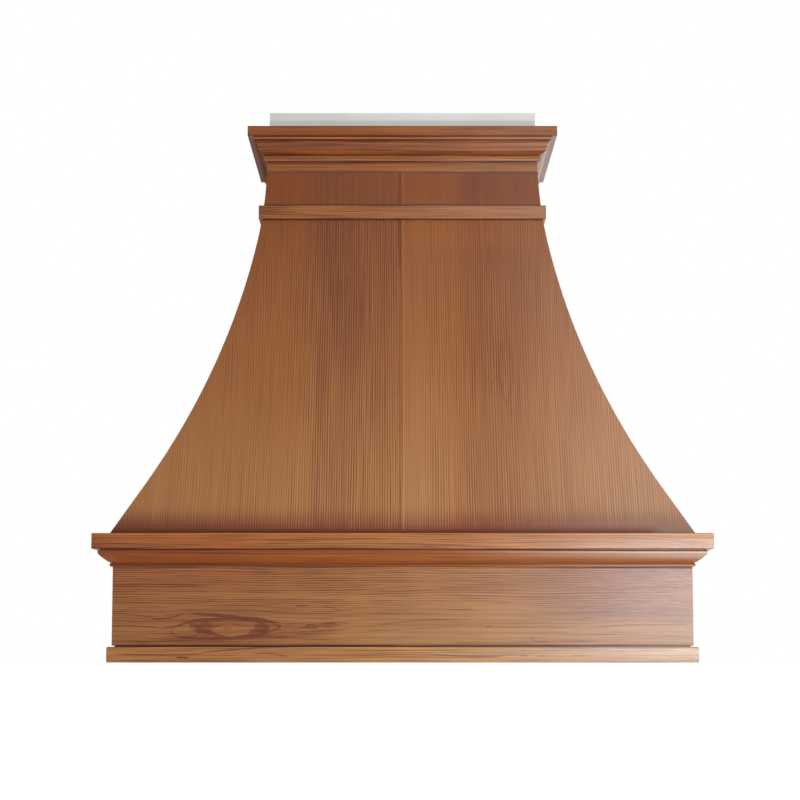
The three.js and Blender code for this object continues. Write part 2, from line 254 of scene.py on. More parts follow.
def eased(corners, steps=4):
    """A section's points from corners (out, up) or (out, up, round), each round cut to that size."""
    points = []
    for number, (out, up, *rounding) in enumerate(corners):
        if not rounding:
            points.append((out, up))
            continue
        ends = []
        for other in (corners[number - 1], corners[(number + 1) % len(corners)]):
            across, rise = other[0] - out, other[1] - up
            share = rounding[0] / math.hypot(across, rise)
            ends.append((out + across * share, up + rise * share))
        points += bow(ends[0], (out, up), ends[1], steps)
    return points


def cut(point, normal):
    """Saws the piece in edit mode and throws away the side that the normal points to."""
    bpy.ops.mesh.select_all(action="SELECT")
    bpy.ops.mesh.bisect(plane_co=point, plane_no=normal, use_fill=True, clear_outer=True)


joint = 0.00008
sawn_over = 0.06
smooth_below = math.radians(35)


def start_run(name, first):
    """Begins a length as one point, the first corner of its section."""
    bpy.ops.mesh.primitive_plane_add(size=0.001, location=first)
    piece = bpy.context.object
    piece.name = name
    piece.data.name = name
    bpy.ops.object.mode_set(mode="EDIT")
    bpy.ops.mesh.merge(type="CENTER")
    return piece


def fill_and_draw_out(steps, length):
    """From the first corner, draws the section's outline, closes it and pulls it out to its length."""
    for step in steps:
        bpy.ops.mesh.extrude_vertices_move(TRANSFORM_OT_translate={"value": step})
    bpy.ops.mesh.select_all(action="SELECT")
    bpy.ops.mesh.edge_face_add()
    bpy.ops.mesh.extrude_region_move(TRANSFORM_OT_translate={"value": length})


def finish_piece():
    """Turns all faces outwards, leaves the piece at the origin and smooths all but its sharp edges."""
    bpy.ops.mesh.select_all(action="SELECT")
    bpy.ops.mesh.normals_make_consistent(inside=False)
    bpy.ops.object.mode_set(mode="OBJECT")
    bpy.ops.object.transform_apply(location=True, rotation=True, scale=True)
    bpy.ops.object.shade_smooth_by_angle(angle=smooth_below)


def front_length(name, section, from_seam=False):
    """A length across the front, mitred at both corners, or at the right one and sawn at the seam."""
    reach = half + sawn_over
    start = (-reach, front - section[0][0], section[0][1])
    piece = start_run(name, start)
    steps = [(0, a[0] - b[0], b[1] - a[1]) for a, b in zip(section, section[1:])]
    fill_and_draw_out(steps, (2 * reach, 0, 0))
    corner = (half - joint, front, 0)
    cut(corner, (1, 1, 0))
    if from_seam:
        cut((joint, 0, 0), (-1, 0, 0))
    else:
        cut((-corner[0], front, 0), (-1, 1, 0))
    finish_piece()
    return piece


def end_length(name, section):
    """A length along the right end, mitred at the front and square at the wall."""
    start = (half + section[0][0], front - sawn_over, section[0][1])
    piece = start_run(name, start)
    steps = [(b[0] - a[0], 0, b[1] - a[1]) for a, b in zip(section, section[1:])]
    fill_and_draw_out(steps, (0, wall - start[1], 0))
    cut((half + joint, front, 0), (-1, -1, 0))
    finish_piece()
    return piece


def mirrored(piece, name):
    """The same piece for the left, with its own mesh."""
    bpy.ops.object.select_all(action="DESELECT")
    piece.select_set(True)
    bpy.context.view_layer.objects.active = piece
    bpy.ops.object.duplicate(linked=False)
    copy = bpy.context.object
    copy.name = name
    copy.data.name = name
    bpy.ops.object.mode_set(mode="EDIT")
    bpy.ops.mesh.select_all(action="SELECT")
    bpy.ops.transform.resize(value=(-1, 1, 1), center_override=(0, 0, 0))
    bpy.ops.mesh.normals_make_consistent(inside=False)
    bpy.ops.object.mode_set(mode="OBJECT")
    return copy


def fit(piece, node, material):
    """Gives a finished piece its finish, and puts it in the place of its plain node."""
    piece.data.materials.clear()
    piece.data.materials.append(material)
    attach(piece, "root")
    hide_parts(node)


def three_lengths(node, section, front_finish, end_finish):
    """One length across the front and one along each end, all of the same section."""
    fit(front_length(f"{node}_across_front", section), f"{node}_front", front_finish)
    right = end_length(f"{node}_right_end", section)
    fit(mirrored(right, f"{node}_left_end"), f"{node}_left", end_finish)
    fit(right, f"{node}_right", end_finish)


def surface(nodes, colour, roughness, specular, height, relief=0.0002):
    """The closing nodes of a finish, with a fine relief that follows the height."""
    bump = nodes.add("ShaderNodeBump", {"Strength": 0.3, "Distance": relief, "Height": height})
    shader = nodes.add("ShaderNodeBsdfPrincipled", {
        "Base Color": colour, "Roughness": roughness, "Specular IOR Level": specular, "Normal": bump})
    nodes.add("ShaderNodeOutputMaterial", {"Surface": shader})


class Board:
    """The wood of one board. Its grain runs along one axis, and its growth lines lie across another."""

    dark_grain = (0.44, 0.28, 0.21)
    pale_grain = (1.40, 1.55, 1.66)
    # The redder and pale mixes: stain and tone in places, painted shade and a painted sheen in others.
    redder_stain_and_shade = (1.05, 0.84, 0.74)
    pale_tone_and_sheen = (0.50, 0.40, 0.33)
    bare_wood = (0.60, 0.43, 0.27)

    def __init__(self, name, number, grain="X", across="Z", depth="Y"):
        self.material, self.nodes = material_nodes(name)
        self.number = number
        self.place = self.nodes.add("ShaderNodeTexCoord", output="Object")
        self.along = self.nodes.add("ShaderNodeSeparateXYZ", {0: self.place}, grain)
        self.side = self.nodes.add("ShaderNodeSeparateXYZ", {0: self.place}, across)
        self.deep = self.nodes.add("ShaderNodeSeparateXYZ", {0: self.place}, depth) if depth else 0
        self.wavering = self.side + self.noise(0.030, 0.020, 3, 6.6) * 0.010
        self.swaying = self.side + self.noise(0.16, 0.05, 1, 6.1) * 0.004
        self.drifting = self.along + self.noise(0.018, 0.012, 2, 8.8) * 0.014

    def noise(self, length, width, detail, seed):
        """Noise about 0 in streaks of that length and width, its own for each board and seed."""
        where = self.nodes.add("ShaderNodeCombineXYZ", {
            0: self.along / length + seed + self.number, 1: self.side / width, 2: self.deep / width})
        texture = {"Vector": where, "Scale": 1, "Detail": detail, "Roughness": 0.5}
        return self.nodes.add("ShaderNodeTexNoise", texture) - 0.5

    def lines(self, spacing, length, width, wander):
        """-1 to 1 across each growth line; wander says by how many lines they drift sideways."""
        drift = self.noise(length, width, 2, 3.1) * wander
        rings = (self.side + self.deep * 0.6) / spacing + drift
        return (rings * math.tau).math("SINE")

    def stroke(self, start, middle, end, width):
        """1 on a dark line of the figure, through three places (along, side), fading at its ends."""
        first_slope = (middle[1] - start[1]) / (middle[0] - start[0])
        second_slope = (end[1] - middle[1]) / (end[0] - middle[0])
        bend = (second_slope - first_slope) / (end[0] - start[0])
        centre = (self.along - start[0]) * ((self.along - middle[0]) * bend + first_slope) + start[1]
        near = (self.swaying - centre).math("ABSOLUTE").ramped(width, 0)
        half_length = abs(end[0] - start[0]) / 2
        off_middle = (self.along - (start[0] + end[0]) / 2).math("ABSOLUTE")
        return near * off_middle.ramped(half_length, half_length * 0.6)

    def strokes(self, courses, wider=1, stronger=1):
        """The darkness of several strokes, each a start, a middle, an end, a width and a strength."""
        return sum(self.stroke(*course[:3], course[3] * wider) * (course[4] * stronger)
                   for course in courses)

    def spread(self, along, side, length, width, round=1.0):
        """1 on an eye's rim, 0 at its middle, more outside; round is 1 for pointed ends, 2 for an oval."""
        lengthways = (self.drifting - along) / (length / 2)
        sideways = (self.wavering - side) / (width / 2)
        return lengthways * lengthways + sideways.math("ABSOLUTE") ** round

    def patch(self, along, side, length, width, edge=0.3, round=1.0):
        """1 inside an eye, fading to 0 across its rim."""
        return self.spread(along, side, length, width, round).ramped(1 + edge, 1 - edge)

    def loop(self, along, side, length, width, edge=0.4, round=1.0):
        """1 on an eye's rim, fading to 0 on both sides."""
        return (self.spread(along, side, length, width, round) - 1).math("ABSOLUTE").ramped(edge, 0)

    def flecks(self, places, length, width):
        """1 on each of a few small flecks of one size."""
        return sum(self.patch(along, side, length, width, 0.6) for along, side in places)

    def plain_figure(self, spacing=0.007, contrast=1.0):
        """The shade of straight stock: soft growth lines, fine streaks, broad stripes and clouds."""
        come_and_go = self.noise(0.25, 0.02, 1, 9.4).ramped(-0.1, 0.12)
        lines = self.lines(spacing, 0.3, 0.03, 2.5) * come_and_go * 0.14
        lines += self.lines(0.0037, 0.3, 0.03, 2) * 0.13
        fine = self.noise(0.10, 0.0020, 3, 7.7) * 1.4
        stripes = self.noise(0.4, 0.010, 2, 1.3) * 0.7
        clouds = self.noise(0.2, 0.08, 2, 5.9) * 0.3
        return 0.5 + (lines + fine + stripes + clouds) * contrast

    def finish(self, shade, tone, redder=0, paler=0, dull=0):
        """Stains the shade (0.5 is the board's own tone) under a satin lacquer that shows the grain and
        is dull in the corners. Redder warms the stain, in places as painted shade; paler mixes in a pale
        tone, in places as a painted sheen. Faces turned inwards, to the middle of the hood, are left bare."""
        figure = self.nodes.ramp(shade, (0, self.dark_grain), (0.5, (1, 1, 1)), (1, self.pale_grain))
        stained = self.nodes.blend(1, figure, tone, "MULTIPLY")
        warmed = self.nodes.blend(redder, stained, self.redder_stain_and_shade, "MULTIPLY")
        finished = self.nodes.blend(paler, warmed, self.pale_tone_and_sheen)
        facing = self.nodes.add("ShaderNodeTexCoord", output="Normal")
        from_middle = self.nodes.add("ShaderNodeVectorMath", {0: self.place, 1: (1, 1, 0)},
                                     operation="MULTIPLY")
        outwards = self.nodes.add("ShaderNodeVectorMath", {0: facing, 1: from_middle}, "Value",
                                  operation="DOT_PRODUCT")
        bare = self.nodes.blend(1, figure, self.bare_wood, "MULTIPLY")
        colour = self.nodes.blend(outwards.ramped(-0.01, -0.06), finished, bare)
        pores = self.noise(0.03, 0.0008, 2, 4.3)
        roughness = 0.34 + pores * 0.2 + dull * 0.6
        surface(self.nodes, colour, roughness, 0.34, shade * 0.6 + pores * 0.4)
        return self.material


def end_board(name, number, tone, spacing=0.007):
    """Straight stock for a length along the left or right end."""
    board = Board(name, number, "Y", "Z", "X")
    return board.finish(board.plain_figure(spacing), tone)


apron_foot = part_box("apron_front")[0].z
apron_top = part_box("apron_front")[1].z
apron_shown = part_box("shelf_moulding_front")[0].z
board_thickness = 0.019
apron_section = eased([(-board_thickness, apron_foot), (0, apron_foot, 0.0008), (0, apron_top),
                       (-board_thickness, apron_top)])

board = Board("apron_wood", 11)
flat_sawn = board.side.ramped(0.100, 0.078)
calm_end = board.along.ramped(0.08, 0.26)
combed = board.noise(0.055, 0.0016, 3, 7.7) * (1.3 - flat_sawn * 0.7 - calm_end * 0.4)
close_lines = board.lines(0.0036, 0.24, 0.030, 3) * (0.29 - flat_sawn * 0.17)
long_lines = board.noise(0.20, 0.0028, 2, 2.2) * (0.55 - calm_end * 0.25)
waves = board.lines(0.0085, 0.14, 0.05, 2.5) * flat_sawn * 0.08
stripes = board.noise(0.35, 0.012, 2, 1.3) * 0.6
clouds = board.noise(0.16, 0.09, 2, 5.9) * 0.3
shade = 0.5 + combed + close_lines + long_lines + waves + stripes + clouds

knot_place = (-0.2640, 0.0560, 0.150, 0.034)
knot_round = 1.4
rings_in_knot = 2.6
knot_rings = (board.spread(*knot_place, knot_round) * (math.tau * rings_in_knot)).math("SINE")
pale_eye = board.patch(-0.2700, 0.0490, 0.060, 0.0170, 0.14, 2)
knot = board.patch(*knot_place, 0.12, knot_round) * (0.27 + knot_rings * 0.04)
for along, up, length, width, edge, roundness, strength in (
        (-0.3110, 0.0520, 0.030, 0.0230, 0.30, 2, 0.17),
        (-0.2213, 0.0535, 0.025, 0.0170, 0.18, 2, 0.24),
        (-0.1750, 0.0540, 0.050, 0.0100, 0.50, 2, 0.20),
        (-0.1440, 0.0552, 0.030, 0.0076, 0.40, 1, 0.36),
        (-0.1150, 0.0572, 0.036, 0.0085, 0.30, 1, 0.30),
        (-0.2700, 0.0358, 0.300, 0.0180, 0.90, 1, 0.16)):
    knot += board.patch(along, up, length, width, edge, roundness) * strength
knot += board.loop(-0.2213, 0.0540, 0.060, 0.0240, 0.25, 2) * 0.10
knot += board.loop(-0.3400, 0.0500, 0.052, 0.0220) * 0.22
knot += board.stroke((-0.380, 0.0330), (-0.250, 0.0385), (-0.095, 0.0480), 0.0070) * 0.18
knot *= 1 - board.patch(-0.2420, 0.0565, 0.024, 0.0095, 0.5, 2) * 0.6
shade -= knot * (1 - pale_eye)
shade -= board.patch(-0.2764, 0.0522, 0.014, 0.0050, 0.5) * 0.24
shade -= board.strokes((
    ((-0.470, 0.0556), (-0.415, 0.0560), (-0.372, 0.0518), 0.0014, 0.26),
    ((-0.385, 0.0516), (-0.350, 0.0578), (-0.310, 0.0695), 0.0013, 0.28),
    ((-0.470, 0.0755), (-0.420, 0.0735), (-0.380, 0.0665), 0.0012, 0.20),
    ((-0.395, 0.0665), (-0.368, 0.0690), (-0.340, 0.0768), 0.0012, 0.20),
    ((-0.470, 0.0790), (-0.445, 0.0788), (-0.427, 0.0822), 0.0010, 0.18),
    ((-0.378, 0.0728), (-0.358, 0.0745), (-0.335, 0.0775), 0.0009, 0.16),
    ((-0.350, 0.0615), (-0.330, 0.0645), (-0.300, 0.0690), 0.0010, 0.22),
    ((-0.345, 0.0765), (-0.270, 0.0712), (-0.185, 0.0610), 0.0030, 0.26),
    ((-0.250, 0.0640), (-0.200, 0.0625), (-0.115, 0.0575), 0.0012, 0.20),
    ((-0.350, 0.0386), (-0.270, 0.0384), (-0.200, 0.0462), 0.0013, 0.22),
    ((-0.215, 0.0448), (-0.160, 0.0482), (-0.085, 0.0503), 0.0013, 0.22),
    ((-0.135, 0.0590), (-0.105, 0.0625), (-0.080, 0.0590), 0.0010, 0.16),
    ((-0.470, 0.0330), (-0.400, 0.0325), (-0.330, 0.0345), 0.0015, 0.14),
    ((-0.460, 0.0940), (-0.370, 0.0920), (-0.285, 0.0950), 0.0013, 0.16),
    ((-0.470, 0.1200), (-0.400, 0.1215), (-0.300, 0.1200), 0.0035, 0.12),
    ((-0.170, 0.0885), (-0.158, 0.0888), (-0.146, 0.0895), 0.0011, 0.26),
    ((-0.125, 0.0888), (-0.110, 0.0845), (-0.095, 0.0800), 0.0010, 0.20),
    ((-0.055, 0.0550), (0.010, 0.0640), (0.110, 0.0665), 0.0011, 0.16),
    ((-0.080, 0.0480), (0.010, 0.0520), (0.100, 0.0575), 0.0012, 0.12),
    ((0.070, 0.0820), (0.092, 0.0822), (0.114, 0.0818), 0.0010, 0.26),
    ((0.130, 0.0540), (0.136, 0.0562), (0.142, 0.0548), 0.0011, 0.22),
    ((0.100, 0.0560), (0.220, 0.0548), (0.350, 0.0565), 0.0012, 0.20),
    ((0.290, 0.0560), (0.360, 0.0585), (0.470, 0.0590), 0.0014, 0.20),
    ((0.160, 0.0330), (0.230, 0.0320), (0.310, 0.0335), 0.0011, 0.18),
    ((0.196, 0.0400), (0.212, 0.0330), (0.228, 0.0318), 0.0010, 0.22),
    ((0.060, 0.0300), (0.130, 0.0305), (0.210, 0.0290), 0.0013, 0.20),
    ((0.280, 0.0420), (0.370, 0.0435), (0.460, 0.0400), 0.0012, 0.14)), wider=1.4, stronger=2)
shade -= board.patch(0.3965, 0.1479, 0.0050, 0.0040) * 0.4
# Painted shadow: a dark line under the bead, and one at the apron's foot above the strip's gap.
painted_shadow_under_bead = (board.side + board.along.ramped(0, 0.30) * 0.0012).near(apron_shown, 0.0022)
shade -= board.side.near(apron_foot, 0.0022) * 0.45
to_right = board.along.ramped(0.10, 0.40)
shade -= painted_shadow_under_bead * (0.2 - to_right * 0.18)
# Painted shade: the upper right end is darker, and redder below.
upper_right_painted_shade = board.along.ramped(0.15, 0.36) * board.side.ramped(0.040, 0.080)
shade += board.along.near(0.080, 0.200) * 0.06 - upper_right_painted_shade * 0.42
shade += board.side.near(0.028, 0.012) * board.along.near(-0.050, 0.300) * 0.06
shade += board.patch(-0.2300, 0.1080, 0.220, 0.034, 0.6, 2) * 0.06
apron_tone = board.nodes.ramp(
    board.side / apron_top, (0.25, (0.299, 0.135, 0.044)), (0.75, (0.251, 0.095, 0.024)))
# A painted sheen, paler towards the lower right end, and a little paler tone right of the middle.
apron_tone_and_sheen = board.along.ramped(0.05, 0.46) * board.side.ramped(0.130, 0.025) * 0.24
middle_right = board.along.near(0.120, 0.240)
apron_tone_and_sheen += middle_right * 0.020
shade -= middle_right * 0.05
# Redder on the knot and towards the left end, and as painted shade on the upper right.
apron_redder = knot * 1.8 + board.along.ramped(0.05, -0.40) * 0.7 + upper_right_painted_shade * 0.9
apron_dull = painted_shadow_under_bead * (1 - to_right * 0.5)
apron_wood = board.finish(shade, apron_tone, apron_redder, apron_tone_and_sheen, apron_dull)
apron_end_wood = end_board("apron_end_wood", 12, (0.265, 0.110, 0.030))
three_lengths("apron", apron_section, apron_wood, apron_end_wood)


# ---------------------------------------------------------------------------------------------------
# The bottom strip: solid stock with a rounded top edge, mitred round the apron's foot and screwed to the
# battens behind. A tongue on its back edge closes the 2 mm shadow gap above it, and is coloured near
# black there, a painted shadow in the gap.
strip_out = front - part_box("base_strip_front")[0].y
strip_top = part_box("base_strip_front")[1].z
clearance = 0.0003
tongue_top = apron_foot - clearance
tongue_back = 0.004
strip_section = eased([
    (-board_thickness, 0), (strip_out, 0, 0.001), (strip_out, strip_top, 0.003),
    (-tongue_back, strip_top), (-tongue_back, tongue_top), (-board_thickness, tongue_top)], steps=6)

board = Board("strip_wood", 21)
shade = board.plain_figure(0.009)
shade -= board.strokes((
    ((-0.466, 0.0132), (-0.400, 0.0112), (-0.300, 0.0140), 0.0011, 0.24),
    ((-0.330, 0.0135), (-0.250, 0.0205), (-0.160, 0.0242), 0.0013, 0.24),
    ((-0.356, 0.0074), (-0.345, 0.0075), (-0.334, 0.0073), 0.0013, 0.34),
    ((-0.382, 0.0085), (-0.378, 0.0108), (-0.374, 0.0115), 0.0009, 0.24),
    ((-0.240, 0.0112), (-0.200, 0.0118), (-0.176, 0.0070), 0.0010, 0.20),
    ((-0.120, 0.0160), (-0.020, 0.0180), (0.060, 0.0120), 0.0012, 0.12),
    ((0.040, 0.0120), (0.110, 0.0095), (0.165, 0.0100), 0.0011, 0.20),
    ((0.184, 0.0100), (0.190, 0.0102), (0.196, 0.0100), 0.0010, 0.30),
    ((0.211, 0.0100), (0.217, 0.0101), (0.223, 0.0100), 0.0010, 0.26),
    ((0.264, 0.0100), (0.277, 0.0102), (0.290, 0.0100), 0.0010, 0.26),
    ((0.220, 0.0190), (0.290, 0.0205), (0.345, 0.0160), 0.0010, 0.14),
    ((0.334, 0.0185), (0.341, 0.0165), (0.345, 0.0145), 0.0010, 0.24),
    ((0.415, 0.0060), (0.435, 0.0075), (0.460, 0.0050), 0.0009, 0.18)), wider=1.5, stronger=2.4)
# The right end is dimmed under a painted sheen that grows towards it; a darker patch lies left of the
# middle.
shade -= board.along.ramped(0.20, 0.40) * 0.13 + board.along.near(-0.33, 0.14) * 0.08
# Painted shadow: the tongue in the gap above the strip is coloured near black.
painted_shadow_in_gap = board.side.ramped(strip_top - 0.0006, strip_top + 0.0001)
strip_tone = board.nodes.blend(painted_shadow_in_gap, (0.365, 0.168, 0.054), (0.030, 0.013, 0.009))
strip_redder = board.along.ramped(-0.10, -0.40) * 0.6
strip_painted_sheen = board.along.ramped(-0.10, 0.44) * (1 - painted_shadow_in_gap) * 0.34
strip_wood = board.finish(shade, strip_tone, strip_redder, strip_painted_sheen)
strip_end_wood = end_board("strip_end_wood", 22, (0.345, 0.150, 0.043), 0.009)
three_lengths("base_strip", strip_section, strip_wood, strip_end_wood)


# ---------------------------------------------------------------------------------------------------
# The moulding under the shelf: a square fillet, a hollow slope, a quirk and a small bead, run on one
# length of solid stock, mitred and glued to the apron. A fine rebate along its top edge leaves a dark
# line against the shelf, deepened by painted shade.
bead_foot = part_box("shelf_moulding_front")[0].z
fillet_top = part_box("shelf_moulding_front")[1].z
fillet_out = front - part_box("shelf_moulding_front")[0].y
bead_out = 0.0046
slope_foot = (0.0054, bead_foot + 0.0068)
fillet_foot = bead_foot + 0.0202
bead = bow((bead_out - 0.0012, bead_foot), (bead_out + 0.0008, bead_foot + 0.0024),
           (bead_out - 0.0008, bead_foot + 0.005), steps=8)
slope_top = (fillet_out - 0.0014, fillet_foot - 0.0022)
slope = bow(slope_foot, (0.0132, bead_foot + 0.0114), slope_top, steps=14)
rebate = 0.0011
rebate_depth = 0.006
fillet = eased([slope_top, (fillet_out, fillet_foot, 0.0006), (fillet_out, fillet_top - rebate, 0.0004),
                (fillet_out - rebate_depth, fillet_top - rebate), (fillet_out - rebate_depth, fillet_top),
                (clearance, fillet_top)])
quirk = (0.0026, bead_foot + 0.0058)
moulding_section = [(clearance, bead_foot), *bead, quirk, *slope, *fillet[1:]]

board = Board("moulding_wood", 31)
up_moulding = (board.side - bead_foot) / (fillet_top - bead_foot)
moulding_tone = board.nodes.ramp(
    up_moulding, (0.14, (0.160, 0.044, 0.010)), (0.22, (0.350, 0.117, 0.029)),
    (0.66, (0.315, 0.101, 0.022)), (0.74, (0.245, 0.071, 0.008)))
to_left = board.along.ramped(-0.08, -0.40)
shade = board.plain_figure(0.006, 0.6) - to_left * (0.04 + up_moulding.ramped(0.4, 0.6) * 0.08)
to_right = board.along.ramped(0.06, 0.40)
# Painted shade: dark lines under the shelf and in the quirk.
painted_shade_under_shelf = (board.side + to_right * 0.0012).near(fillet_top - 0.0009, 0.0018)
painted_shade_under_shelf *= board.along.ramped(-0.02, 0.16)
painted_shade_in_quirk = board.side.near(bead_foot + 0.0039, 0.0024)
shade -= painted_shade_under_shelf * (0.30 + to_right * 0.3) + painted_shade_in_quirk * (0.12 + to_right * 0.12)
by_seam = board.along.ramped(-0.20, 0.10)
# Painted highlights along the bead, more towards the right.
shade += board.side.near(bead_foot + 0.0013, 0.0014) * by_seam * 0.60
shade += board.side.near(bead_foot + 0.0018, 0.0018) * to_right * 0.50
# A painted sheen on the slope and the bead, growing towards the right end, taken off under the shelf.
moulding_painted_sheen = board.along.ramped(0.02, 0.40) * (0.07 + up_moulding.ramped(0.35, 0.62) * 0.36)
moulding_painted_sheen += board.along.ramped(0.30, 0.44) * up_moulding.near(0.60, 0.24) * 0.24
moulding_painted_sheen += board.side.near(bead_foot + 0.0011, 0.0020) * to_right * 0.32
moulding_painted_sheen *= 1 - painted_shade_under_shelf * 0.85
moulding_redder = 0.15 + to_left * 0.6 + up_moulding.ramped(0.5, 0.9) * 0.3
moulding_dull = (painted_shade_under_shelf + painted_shade_in_quirk).math("MINIMUM", 1)
moulding_wood = board.finish(shade, moulding_tone, moulding_redder, moulding_painted_sheen, moulding_dull)
moulding_end_wood = end_board("moulding_end_wood", 32, (0.300, 0.100, 0.023), 0.006)
three_lengths("shelf_moulding", moulding_section, moulding_wood, moulding_end_wood)


# ---------------------------------------------------------------------------------------------------
# The shelf: square-edged boards of the same stock, laid flat over the apron and mitred at the front
# corners, with both front arrises taken off with a block plane.
shelf_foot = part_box("shelf_front")[0].z
shelf_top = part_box("shelf_front")[1].z
shelf_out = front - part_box("shelf_front")[0].y
shelf_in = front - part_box("shelf_front")[1].y
shelf_section = eased([(shelf_in, shelf_foot), (shelf_out, shelf_foot, 0.0012),
                       (shelf_out, shelf_top, 0.0012), (shelf_in, shelf_top)])

board = Board("shelf_wood", 41)
shade = board.plain_figure(0.007, 1.3)
shade -= board.strokes((
    ((-0.062, 0.1857), (-0.057, 0.1859), (-0.052, 0.1857), 0.0010, 0.24),
    ((0.131, 0.1936), (0.137, 0.1938), (0.143, 0.1936), 0.0010, 0.24),
    ((0.315, 0.1948), (0.360, 0.1935), (0.400, 0.1920), 0.0011, 0.22),
    ((0.425, 0.1920), (0.450, 0.1922), (0.478, 0.1918), 0.0011, 0.20),
    ((-0.300, 0.1900), (-0.180, 0.1915), (-0.040, 0.1905), 0.0013, 0.10)))
# Painted shade on the underside and along the lower edge, the latter at the left.
under = board.side.ramped(shelf_foot + 0.0006, shelf_foot + 0.0002)
shade -= under * (0.26 - board.along.ramped(0.10, 0.42) * 0.40)
shade -= board.side.near(shelf_foot, 0.0030) * board.along.ramped(0.08, -0.10) * 0.24
shade += board.along.near(-0.26, 0.20) * 0.06 - board.along.ramped(0.24, 0.34) * 0.05
# At the right end: a painted highlight on the top arris, and painted shade along the top edge and lower
# face.
far_right = board.along.ramped(0.24, 0.40)
shade += (board.side + far_right * 0.0016).near(shelf_top - 0.0003, 0.0018) * 0.26
shade -= far_right * board.side.near(shelf_top, 0.0012) * 0.30
shade -= far_right * board.side.ramped(shelf_foot + 0.013, shelf_foot + 0.004) * 0.18
shelf_redder = board.along.ramped(0.05, -0.46) * 0.9
# A painted sheen towards the right end, strongest at the top.
shelf_painted_sheen = board.along.ramped(-0.05, 0.40) * 0.11
shelf_painted_sheen += far_right * board.side.ramped(shelf_top - 0.007, shelf_top) * 0.14
shelf_wood = board.finish(shade, (0.290, 0.100, 0.020), shelf_redder, shelf_painted_sheen)
shelf_end_wood = end_board("shelf_end_wood", 42, (0.286, 0.096, 0.018))
three_lengths("shelf", shelf_section, shelf_wood, shelf_end_wood)


# ---------------------------------------------------------------------------------------------------
# The flared shell: 6 mm plywood panels with a stained veneer, bent over the ribs. Two book-matched
# leaves meet on the middle of the front, and the end panels meet them on the hips.
upright_level = 0.865
upper_radius = 0.770
upper_angle = math.radians(12)
main_radius = 1.395
foot_angle = math.radians(31)
neck = 0.232
panel_thickness = 0.006


def flare(level):
    """Half width of the shell at a level: upright, a quick bend, a long bend and a straight foot."""
    drop = upright_level - level
    if drop <= 0:
        return neck
    upper_drop = upper_radius * math.sin(upper_angle)
    if drop <= upper_drop:
        return neck + upper_radius - math.sqrt(upper_radius**2 - drop**2)
    centre_out = neck + upper_radius * (1 - math.cos(upper_angle)) + main_radius * math.cos(upper_angle)
    centre_level = upright_level - upper_drop + main_radius * math.sin(upper_angle)
    below = min(centre_level - level, main_radius * math.sin(foot_angle))
    bend = centre_out - math.sqrt(main_radius**2 - below**2)
    return bend + (centre_level - level - below) * math.tan(foot_angle)


def flare_inside(level, thickness):
    """Half width of the shell's inner face, with the thickness taken square to the flare."""
    rise = 0.001
    slope = (flare(level - rise) - flare(level)) / rise
    return flare(level) - thickness * math.hypot(1, slope)


def shell_section(foot, top, inside, steps):
    """A bent board's section, up its face and down its back."""
    levels = [foot + (top - foot) * step / steps for step in range(steps + 1)]
    face = [(flare(level) - half, level) for level in levels]
    back = [(inside(level) - half, level) for level in reversed(levels)]
    return face + back


def shell_course(front_node, end_node, section):
    """Two leaves across the front and one on each end, all of the same section."""
    leaf = front_length(f"{front_node}_right_leaf", section, from_seam=True)
    fit(mirrored(leaf, f"{front_node}_left_leaf"), f"{front_node}_left", left_veneer)
    fit(leaf, f"{front_node}_right", right_veneer)
    end = end_length(f"{end_node}_right_leaf", section)
    fit(mirrored(end, f"{end_node}_left_leaf"), f"{end_node}_left", left_end_veneer)
    fit(end, f"{end_node}_right", right_end_veneer)


def veneer_figure(leaf, vigour=1.0):
    """Quarter-sawn lines, nearly straight, strong in some stretches, with painted shade down to the
    shelf and painted shadow lines along the band, the frieze and the shelf.
    """
    strong = leaf.noise(0.28, 0.040, 2, 9.4).ramped(-0.14, 0.12)
    lines = leaf.lines(0.0039, 0.6, 0.06, 3) * (0.14 + strong * 0.10)
    between = leaf.lines(0.0045, 0.4, 0.03, 2) * 0.06
    fine = leaf.noise(0.16, 0.0016, 2, 7.7) * (0.6 + strong * 0.5)
    stripes = leaf.noise(0.8, 0.020, 2, 1.3) * 0.22
    clouds = leaf.noise(0.25, 0.10, 2, 5.9) * 0.2
    # Painted shade: darker down to the shelf, more towards the ends, and painted shadow lines at the foot,
    # along the band's edges and under the frieze.
    painted_foot_shade = leaf.along.ramped(panel_foot + 0.050, panel_foot - 0.004)
    painted_foot_shade *= 1 + leaf.side.math("ABSOLUTE").ramped(0.10, 0.36) * 0.35
    corners = leaf.along.near(panel_foot, 0.008) * 0.36 + leaf.along.near(band_foot, 0.0030) * 0.42
    corners += leaf.along.near(band_top, 0.0038) * 0.50 + leaf.along.near(frieze_foot, 0.0022) * 0.20
    neck_calm = 1 - leaf.along.ramped(band_foot, band_top) * 0.35
    grain = (lines + between + fine) * neck_calm * vigour
    return 0.5 + grain + stripes + clouds - painted_foot_shade * 0.50 - corners


def foot_corner(leaf):
    """1 in the corner on the shelf, fading out a little way up the shell."""
    return leaf.along.ramped(panel_foot + 0.016, panel_foot)


def veneer_tone_and_shade(leaf):
    """The tone darkens towards the top of the shell, and sharply in the corner on the shelf, painted shade
    there.
    """
    up_shell = (leaf.along - panel_foot) / (frieze_foot - panel_foot)
    return leaf.nodes.ramp(
        up_shell, (0, (0.175, 0.062, 0.013)), (0.025, (0.341, 0.142, 0.042)),
        (0.13, (0.341, 0.142, 0.042)), (0.45, (0.297, 0.103, 0.024)), (0.82, (0.232, 0.066, 0.010)),
        (0.95, (0.201, 0.048, 0.003)))


